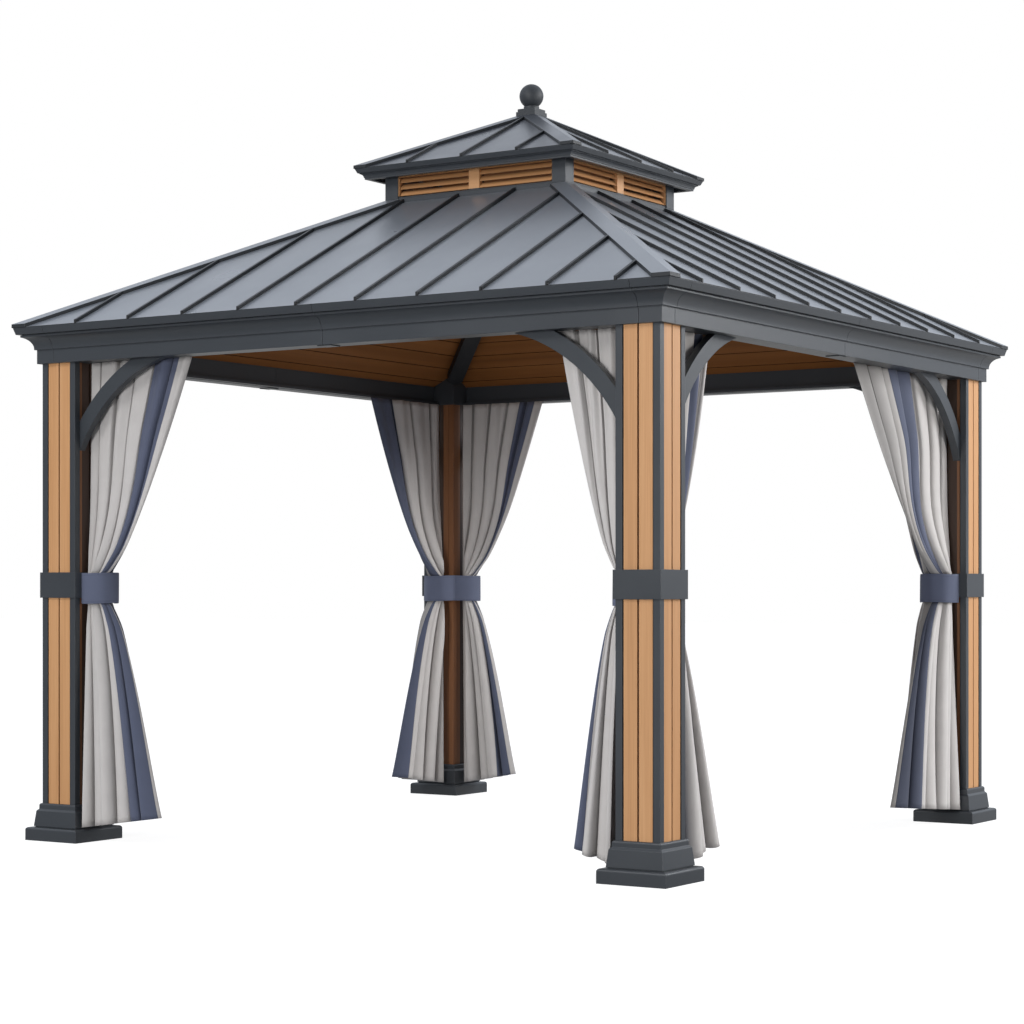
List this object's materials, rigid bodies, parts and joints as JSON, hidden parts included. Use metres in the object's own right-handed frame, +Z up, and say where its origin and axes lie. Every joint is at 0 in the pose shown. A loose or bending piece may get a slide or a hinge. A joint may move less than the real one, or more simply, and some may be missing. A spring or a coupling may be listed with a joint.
{
  "type": "metal gazebo",
  "caption": "Square open metal gazebo with board-clad posts, curved braces, a two-tier standing-seam roof with a louvred cupola, and curtains tied back at the posts.",
  "frame": {"origin": "on the ground at the centre of the plan", "axes": "+Z up through the finial, +X to the right side, -Y to the front"},
  "size_m": [3.358, 3.358, 3.4723],
  "materials": {
    "frame_paint": "satin dark grey",
    "roof_sheet": "satin blue grey",
    "post_boards": "satin wood grain",
    "ceiling_boards": "satin brown wood grain",
    "louvre_timber": "satin wood grain",
    "curtain_cloth": "woven, warm light grey",
    "tie_cloth": "woven, slate blue"
  },
  "bodies": {
    "root": {"front_left_post": "frame_paint", "front_right_post": "frame_paint", "back_right_post": "frame_paint", "back_left_post": "frame_paint", "front_left_boards": "post_boards", "front_right_boards": "post_boards", "back_right_boards": "post_boards", "back_left_boards": "post_boards", "post_bases": "frame_paint", "post_bands": "frame_paint", "corner_braces": "frame_paint", "right_beam": "frame_paint", "back_beam": "frame_paint", "left_beam": "frame_paint", "front_beam": "frame_paint", "beam_corners": "frame_paint", "post_heads": "frame_paint", "beam_splices": "frame_paint", "right_roof": "roof_sheet", "back_roof": "roof_sheet", "left_roof": "roof_sheet", "front_roof": "roof_sheet", "hip_caps": "roof_sheet", "ceiling": "ceiling_boards", "hip_rafters": "frame_paint", "cupola_curb": "frame_paint", "cupola_posts": "frame_paint", "right_louvre": "louvre_timber", "back_louvre": "louvre_timber", "left_louvre": "louvre_timber", "front_louvre": "louvre_timber", "upper_eave": "frame_paint", "upper_roof": "roof_sheet", "upper_hip_caps": "roof_sheet", "upper_ceiling": "ceiling_boards", "finial": "frame_paint", "curtain_rails": "frame_paint", "front_curtain_left": "curtain_cloth", "front_curtain_right": "curtain_cloth", "right_curtain_front": "curtain_cloth", "right_curtain_back": "curtain_cloth", "back_curtain_right": "curtain_cloth", "back_curtain_left": "curtain_cloth", "left_curtain_back": "curtain_cloth", "left_curtain_front": "curtain_cloth", "front_left_tie": "tie_cloth", "front_right_tie": "tie_cloth", "back_right_tie": "tie_cloth", "back_left_tie": "tie_cloth"}
  },
  "joints": []
}
